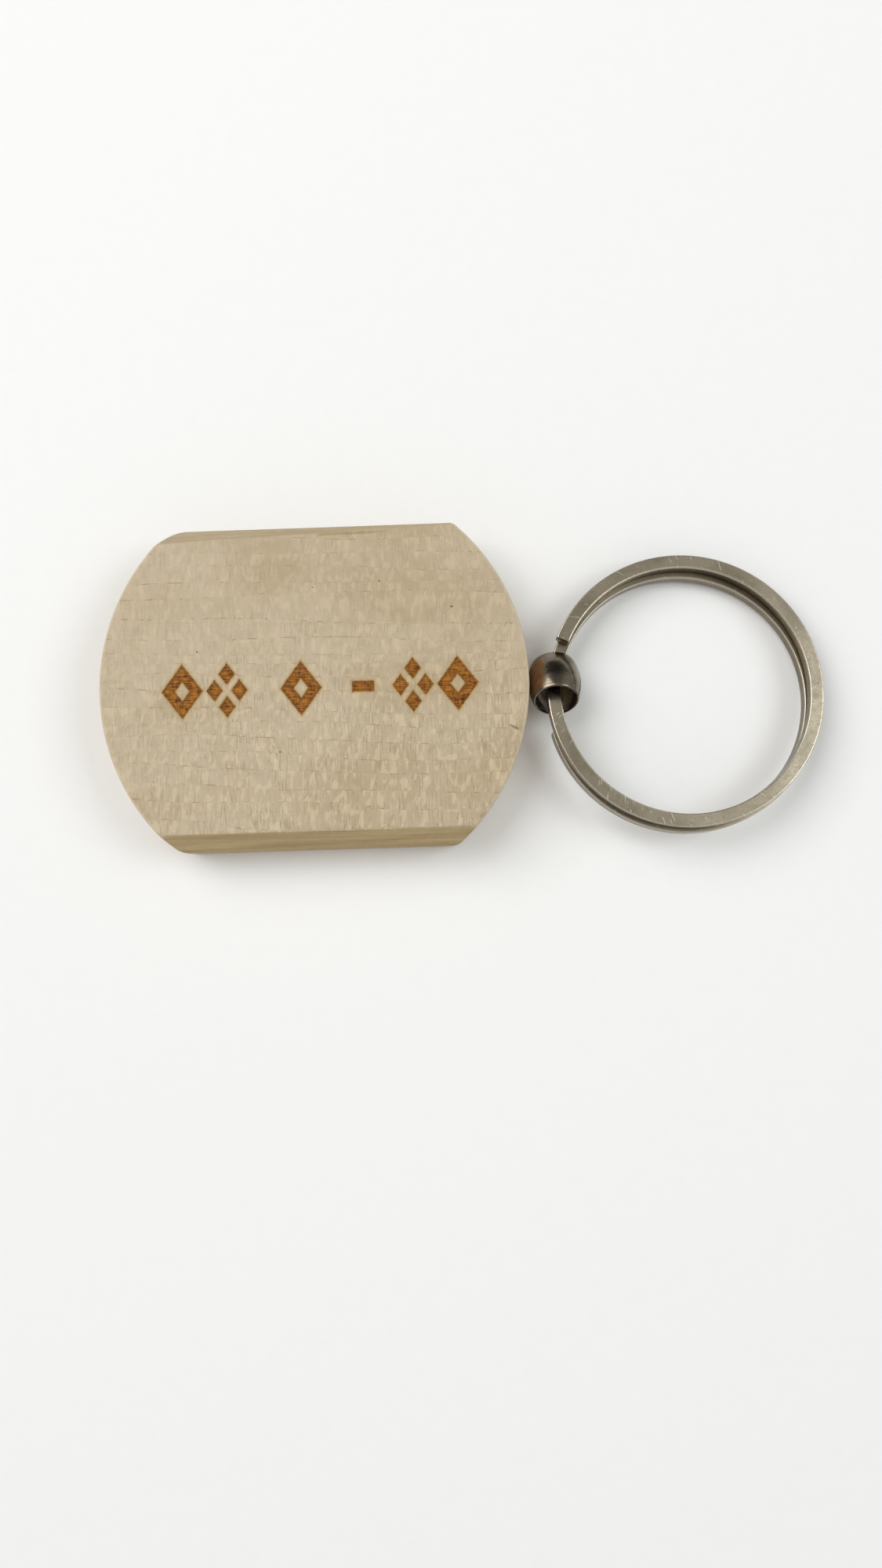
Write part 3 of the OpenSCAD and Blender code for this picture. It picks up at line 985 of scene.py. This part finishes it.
def swivel_barrel(material):
    """The strip rolled round the bore, with a seam, and a hole for the pin."""
    section = barrel_section()
    at_bore = (Matrix.Translation(BARREL_CENTRE * MM)
               @ Matrix.Rotation(math.pi / 2 - BARREL_TURN, 4, "X"))
    half_seam = SEAM_W / 2 / BARREL_R
    turns = with_rounded_ends(
        SEAM_AT + half_seam,
        SEAM_AT - half_seam + 2 * math.pi,
        128,
        SEAM_EDGE_R / BARREL_R,
        ((0.0, 0.55), (0.35, 0.85), (1.0, 1.0)),
    )
    rings = []
    for angle, share in turns:
        ring = []
        for radius, height in section:
            # The strip's ends draw in towards the middle of its wall.
            wall_middle = BARREL_R - BARREL_WALL / 2 - (BARREL_R - BARREL_END_R) * (
                2 * height / BARREL_L) ** 2
            drawn = mix(wall_middle, radius, share)
            place = Vector((drawn * math.cos(angle), drawn * math.sin(angle), height)) * MM
            ring.append(at_bore @ place)
        rings.append(ring)
    mesh = skin("swivel_barrel", rings, [angle * BARREL_R for angle, share in turns], section)

    strip = temporary("strip", mesh)
    pierced = cut(strip, rod(PIN_R + PIN_CLEARANCE, TAG_R - 1, BARREL_CENTRE.x - BARREL_END_R / 2))
    bpy.data.objects.remove(strip)
    pierced.name = "swivel_barrel_fine"
    return make_object("swivel_barrel_fine", pierced, "barrel", material,
                       "swivel_barrel")


# ---------------------------------------------------------------- split ring

def wire_section():
    """The wire's section: (outward, up) points of a rectangle with rounded edges, in mm."""
    corners = []
    flat_w = WIRE_W / 2 - WIRE_EDGE_R
    flat_t = WIRE_T / 2 - WIRE_EDGE_R
    steps = 5
    for quarter, (side_x, side_y) in enumerate(((1, 1), (-1, 1), (-1, -1), (1, -1))):
        corner = []
        for step in range(steps + 1):
            angle = (quarter + step / steps) * math.pi / 2
            corner.append(Vector((side_x * flat_w + WIRE_EDGE_R * math.cos(angle),
                                  side_y * flat_t + WIRE_EDGE_R * math.sin(angle))))
        corners.append(corner)
    # Points just inside both ends of each flat side keep its shading flat.
    points = []
    for corner, following in zip(corners, corners[1:] + corners[:1]):
        points += corner
        points += [corner[-1].lerp(following[0], share) for share in (0.05, 0.95)]
    return points


def ring_path(angle):
    """Centre of the wire at an angle round the ring, from the front end down to the back end."""
    into_step = (RING_AT_BARREL + STEP_HALF - 2 * math.pi - angle) / (2 * STEP_HALF)
    share = smooth(into_step)
    radius = mix(FRONT_TURN_R, BACK_TURN_R, share)
    centre = TURN_SLIP * mix(0.5, -0.5, share)
    height = TURN_STEP * mix(0.5, -0.5, share)
    return Vector((centre.x + radius * math.cos(angle), centre.y + radius * math.sin(angle), height))


def ring_placing():
    """Turns the ring's own plane into its place in the barrel, in metres."""
    middle_r = (FRONT_TURN_R + BACK_TURN_R) / 2
    at_barrel = Vector((math.cos(RING_AT_BARREL), math.sin(RING_AT_BARREL), 0)) * middle_r
    seat = BARREL_CENTRE - Vector((WIRE_SEAT, 0, 0))
    return (Matrix.Translation(seat * MM) @ Matrix.Rotation(-RING_RISE, 4, "X")
            @ Matrix.Rotation(RING_FALL, 4, "Y") @ Matrix.Translation(-at_barrel * MM))


def split_ring(material):
    """The wire swept along its two turns, with both cut ends rounded."""
    section = wire_section()
    placing = ring_placing()
    turns = with_rounded_ends(
        FRONT_END,
        BACK_END,
        520,
        WIRE_END_ROUNDING / FRONT_TURN_R,
        ((0.0, 0.8), (0.3, 0.93), (1.0, 1.0)),
    )
    rings = []
    for angle, share in turns:
        middle = ring_path(angle)
        ahead = (ring_path(angle - 0.01) - ring_path(angle + 0.01)).normalized()
        outward = Vector((math.cos(angle), math.sin(angle), 0))
        outward = (outward - ahead * outward.dot(ahead)).normalized()
        up = ahead.cross(outward)
        rings.append([
            placing @ ((middle + outward * (point.x * share) + up * (point.y * share)) * MM)
            for point in section
        ])
    mesh = skin("split_ring_fine", rings, [-angle * FRONT_TURN_R for angle, share in turns], section)
    return make_object("split_ring_fine", mesh, "ring", material, "split_ring")


# ---------------------------------------------------------------- swivel pin

def swivel_pin(material):
    """The pin keeps its CAD mesh, and gets its material."""
    mesh = frame["nodes"]["swivel_pin"].data
    mesh.materials.clear()
    mesh.materials.append(material)


# ---------------------------------------------------------------- the object

wooden_tag(wood_material())
swivel_barrel(barrel_material())
split_ring(ring_material())
swivel_pin(pin_material())


# ---------------------------------------------------------------- stage, light and camera

def add_floor():
    """A square of paper just below the tag."""
    half = 0.5
    z = -0.05 * MM
    mesh = bpy.data.meshes.new("floor")
    corners = [(-half, -half, z), (half, -half, z), (half, half, z), (-half, half, z)]
    mesh.from_pydata(corners, [], [(0, 1, 2, 3)])
    mesh.materials.append(floor_material())
    floor = bpy.data.objects.new("floor", mesh)
    bpy.context.scene.collection.objects.link(floor)


def add_area_light(name, place, size, power, colour=(1.0, 1.0, 1.0)):
    """A soft square light at place, in metres, aimed at the middle of the object."""
    light = bpy.data.lights.new(name, "AREA")
    light.size = size
    light.energy = power
    light.color = colour
    lamp = bpy.data.objects.new(name, light)
    lamp.location = place
    aim = (cad_low + cad_high) / 2
    lamp.rotation_mode = "QUATERNION"
    lamp.rotation_quaternion = (aim - lamp.location).to_track_quat("-Z", "Y")
    bpy.context.scene.collection.objects.link(lamp)


def add_lights():
    """A wide key light from the upper left, and a smaller, cooler one from the ring's side."""
    add_area_light("key", Vector((-0.40, 0.28, 0.62)), 0.6, 3.4)
    add_area_light("side", Vector((0.62, 0.08, 0.70)), 0.45, 2.15, (0.91, 0.97, 1.0))


def add_world():
    """An even pale room. Its far wall is darker low down, which gives the metal some contrast."""
    room_strength = 0.47
    wall_strength = 0.05
    seen_strength = 0.88
    world = bpy.data.worlds.new("studio")
    world.use_nodes = True
    nodes = world.node_tree.nodes
    links = world.node_tree.links
    background = nodes["Background"]
    background.inputs["Color"].default_value = (1.0, 0.982, 0.95, 1.0)

    direction = nodes.new("ShaderNodeTexCoord")
    split = nodes.new("ShaderNodeSeparateXYZ")
    links.new(direction.outputs["Generated"], split.inputs[0])
    wall = nodes.new("ShaderNodeMapRange")
    wall.interpolation_type = "SMOOTHSTEP"
    wall.inputs["From Min"].default_value = 0.55
    wall.inputs["From Max"].default_value = 0.92
    wall.inputs["To Min"].default_value = room_strength
    wall.inputs["To Max"].default_value = wall_strength
    links.new(split.outputs["Y"], wall.inputs["Value"])

    # The camera itself sees the room evenly pale behind the floor.
    path = nodes.new("ShaderNodeLightPath")
    seen = nodes.new("ShaderNodeMix")
    seen.data_type = "FLOAT"
    seen.inputs["B"].default_value = seen_strength
    links.new(path.outputs["Is Camera Ray"], seen.inputs["Factor"])
    links.new(wall.outputs["Result"], seen.inputs["A"])
    links.new(seen.outputs["Result"], background.inputs["Strength"])
    bpy.context.scene.world = world


def add_camera():
    """A phone held over the tag, tilted, leaned and rolled a few degrees."""
    data = bpy.data.cameras.new("camera")
    data.lens = 27.13
    data.sensor_width = 36
    data.clip_start = 0.01
    camera = bpy.data.objects.new("camera", data)
    camera.location = Vector((14.9, -21.58, 143.8)) * MM
    camera.rotation_euler = [math.radians(angle) for angle in (4.0, 0.35, -1.8)]
    bpy.context.scene.collection.objects.link(camera)
    bpy.context.scene.camera = camera


add_floor()
add_lights()
add_world()
add_camera()
bpy.context.scene.view_settings.view_transform = "Standard"
